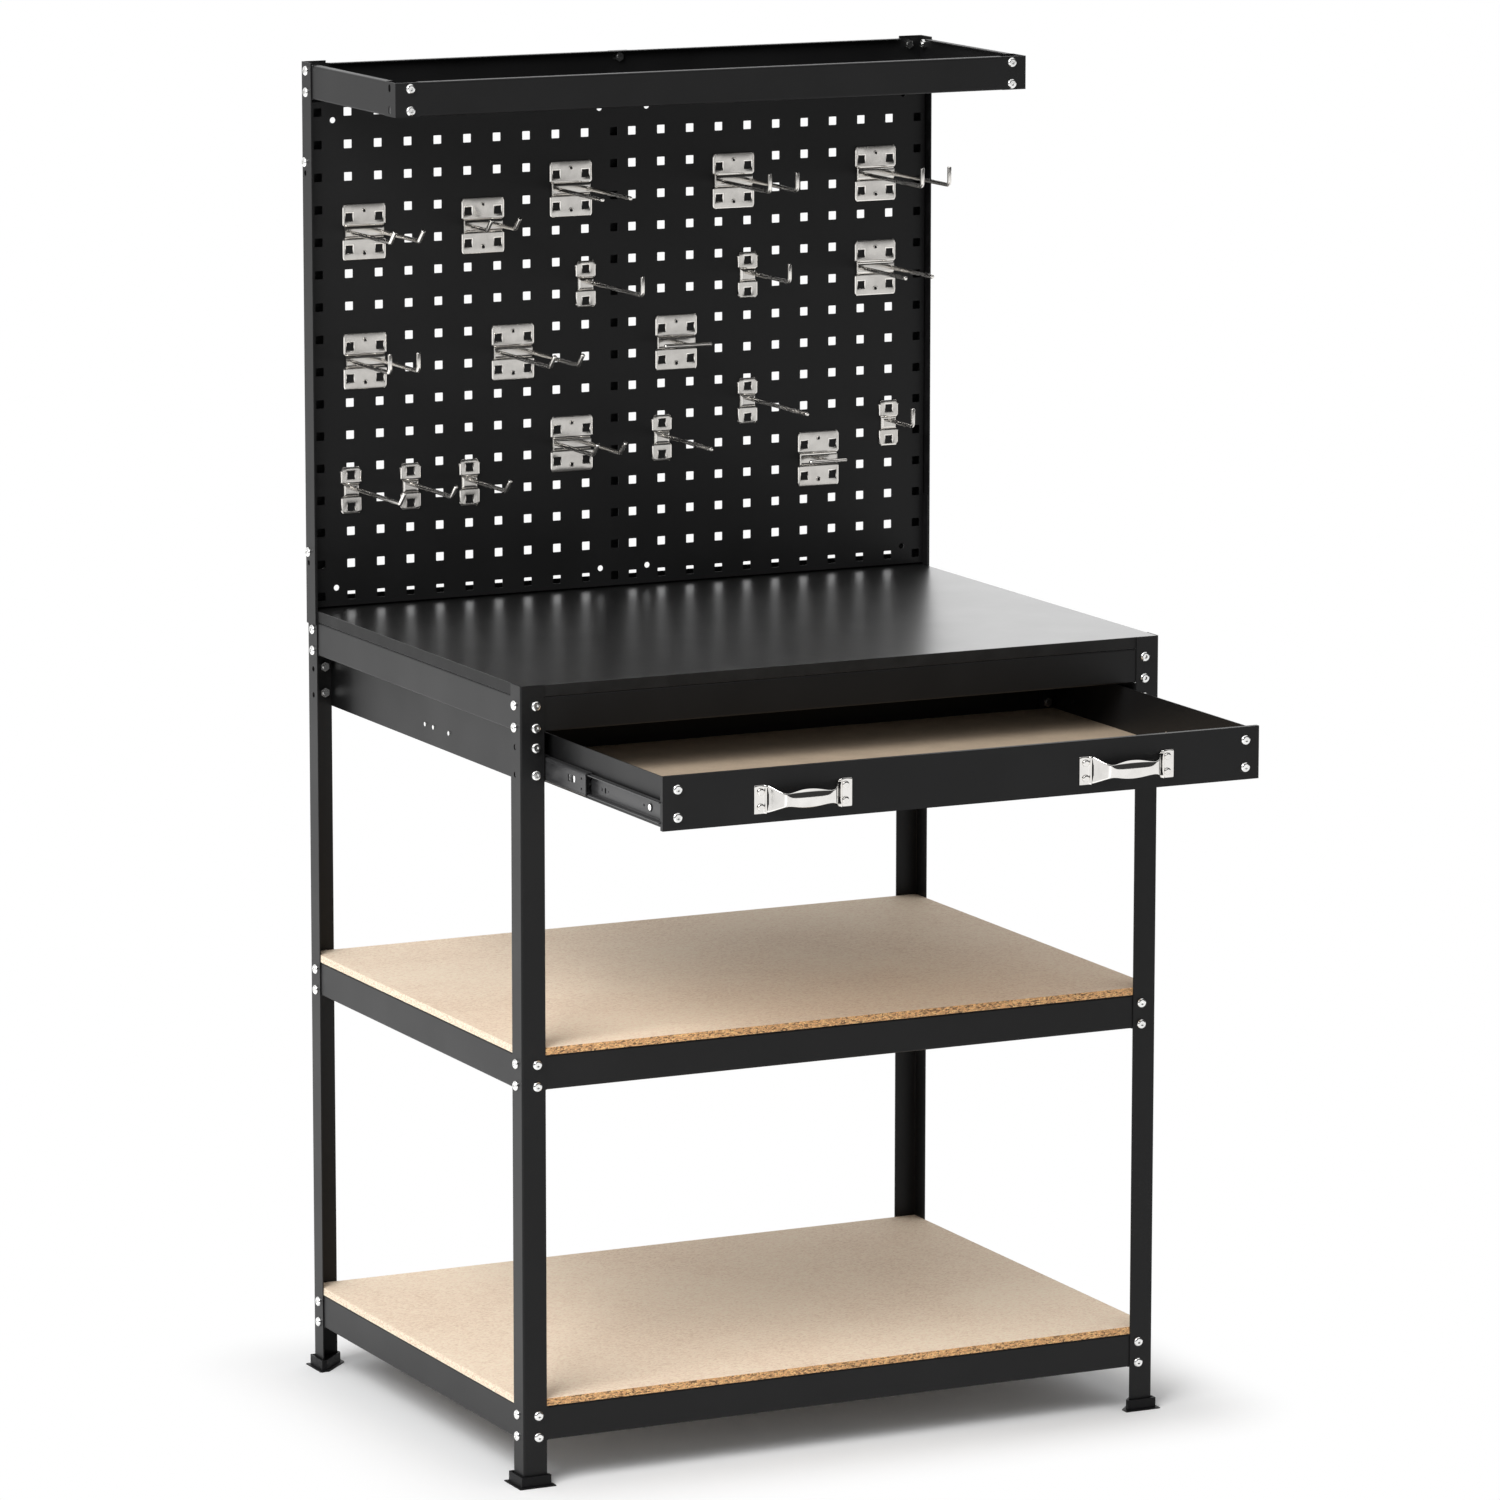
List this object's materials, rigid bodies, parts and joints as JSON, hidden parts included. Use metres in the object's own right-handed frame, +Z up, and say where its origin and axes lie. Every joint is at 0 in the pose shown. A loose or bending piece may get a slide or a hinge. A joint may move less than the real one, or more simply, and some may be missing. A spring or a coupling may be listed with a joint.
{
  "type": "workbench",
  "caption": "Black steel workbench with a pegboard back and hooks, a top tray, a wide shallow drawer with strap handles on telescopic slides, and board shelves below.",
  "frame": {"origin": "on the floor, under the middle of the box of the whole bench with its drawer at rest, part open", "axes": "+Z up, -Y towards the user and the way the drawer opens, +X to the right seen from the front"},
  "size_m": [0.8232, 0.9312, 1.5615],
  "materials": {
    "black_coat": "satin black powder coat on sheet steel",
    "worktop_laminate": "glossy black laminate on board",
    "particle_board": "raw particle board",
    "drawer_board": "smooth pale fibre board",
    "zinc_fasteners": "bright zinc plate",
    "slide_steel": "black plated slide steel",
    "hook_metal": "satin nickel plate",
    "handle_metal": "polished chrome plate",
    "black_plastic": "moulded black plastic"
  },
  "bodies": {
    "frame": {"bench_rail_front": "black_coat", "bench_rail_left": "black_coat", "bench_rail_rear": "black_coat", "bench_rail_right": "black_coat", "carrier_rivets": "zinc_fasteners", "centre_bar": "black_coat", "foot_front_left": "black_plastic", "foot_front_right": "black_plastic", "foot_rear_left": "black_plastic", "foot_rear_right": "black_plastic", "frame_bolts": "zinc_fasteners", "frame_nuts": "zinc_fasteners", "hook_bars": "hook_metal", "hook_plates": "hook_metal", "hook_prongs": "hook_metal", "leg_front_left": "black_coat", "leg_front_right": "black_coat", "leg_rear_left": "black_coat", "leg_rear_right": "black_coat", "lower_rail_front": "black_coat", "lower_rail_left": "black_coat", "lower_rail_rear": "black_coat", "lower_rail_right": "black_coat", "lower_shelf_board": "particle_board", "middle_rail_front": "black_coat", "middle_rail_left": "black_coat", "middle_rail_rear": "black_coat", "middle_rail_right": "black_coat", "middle_shelf_board": "particle_board", "pegboard_left": "black_coat", "pegboard_right": "black_coat", "slide_carrier_left": "black_coat", "slide_carrier_right": "black_coat", "slide_outer_left": "slide_steel", "slide_outer_right": "slide_steel", "tray_floor": "black_coat", "tray_front": "black_coat", "tray_rear": "black_coat", "tray_side_left": "black_coat", "tray_side_right": "black_coat", "upright_left": "black_coat", "upright_right": "black_coat", "worktop": "worktop_laminate"},
    "drawer": {"drawer_back": "black_coat", "drawer_bolts": "zinc_fasteners", "drawer_floor": "drawer_board", "drawer_front": "black_coat", "drawer_nuts": "zinc_fasteners", "drawer_side_left": "black_coat", "drawer_side_right": "black_coat", "drawer_slide_rivets": "zinc_fasteners", "handle_left": "handle_metal", "handle_right": "handle_metal", "handle_rivets": "handle_metal", "slide_inner_left": "slide_steel", "slide_inner_right": "slide_steel"},
    "slide_middle_left": {"slide_middle_left": "slide_steel", "slide_stop_left": "black_plastic"},
    "slide_middle_right": {"slide_middle_right": "slide_steel", "slide_stop_right": "black_plastic"}
  },
  "joints": [
    {"name": "drawer_slide", "type": "slide", "parent": "frame", "child": "drawer", "axis": [0, -1, 0], "range_m": [-0.2953, 0.155]},
    {"name": "slide_left", "type": "slide", "parent": "frame", "child": "slide_middle_left", "axis": [0, -1, 0], "range_m": [-0.14775, 0.0776]},
    {"name": "slide_right", "type": "slide", "parent": "frame", "child": "slide_middle_right", "axis": [0, -1, 0], "range_m": [-0.14775, 0.0776]}
  ],
  "couplings": [
    {"joint": "slide_left", "follows": "drawer_slide", "ratio": 0.5},
    {"joint": "slide_right", "follows": "drawer_slide", "ratio": 0.5}
  ]
}
